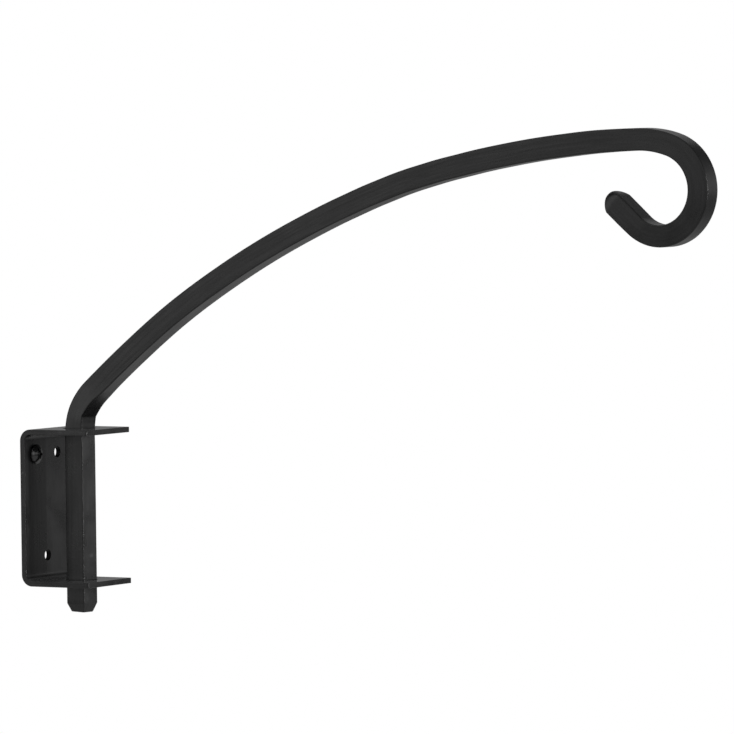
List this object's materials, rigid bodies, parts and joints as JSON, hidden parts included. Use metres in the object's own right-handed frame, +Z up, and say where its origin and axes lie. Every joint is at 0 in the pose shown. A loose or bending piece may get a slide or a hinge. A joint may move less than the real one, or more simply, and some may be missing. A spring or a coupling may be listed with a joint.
{
  "type": "plant hanger bracket",
  "caption": "Wall bracket with a swivelling square-bar arm that sweeps up and out to a curled hook for a hanging pot.",
  "frame": {"origin": "middle of the bracket's back face, which lies against the wall", "axes": "+X out from the wall along the arm, +Z up, +Y along the wall"},
  "size_m": [0.4295, 0.044, 0.267],
  "materials": {
    "powder_coated_steel": "matte to satin black powder coat with a fine texture",
    "black_screw_steel": "glossy black"
  },
  "bodies": {
    "bracket": {"wall_bracket": "powder_coated_steel", "mounting_screw": "black_screw_steel"},
    "arm": {"hanger_arm": "powder_coated_steel"}
  },
  "joints": [
    {"name": "arm_swivel", "type": "hinge", "parent": "bracket", "child": "arm", "pos_m": [0.025, 0, 0], "axis": [0, 0, 1], "range_deg": [-90, 90]}
  ]
}
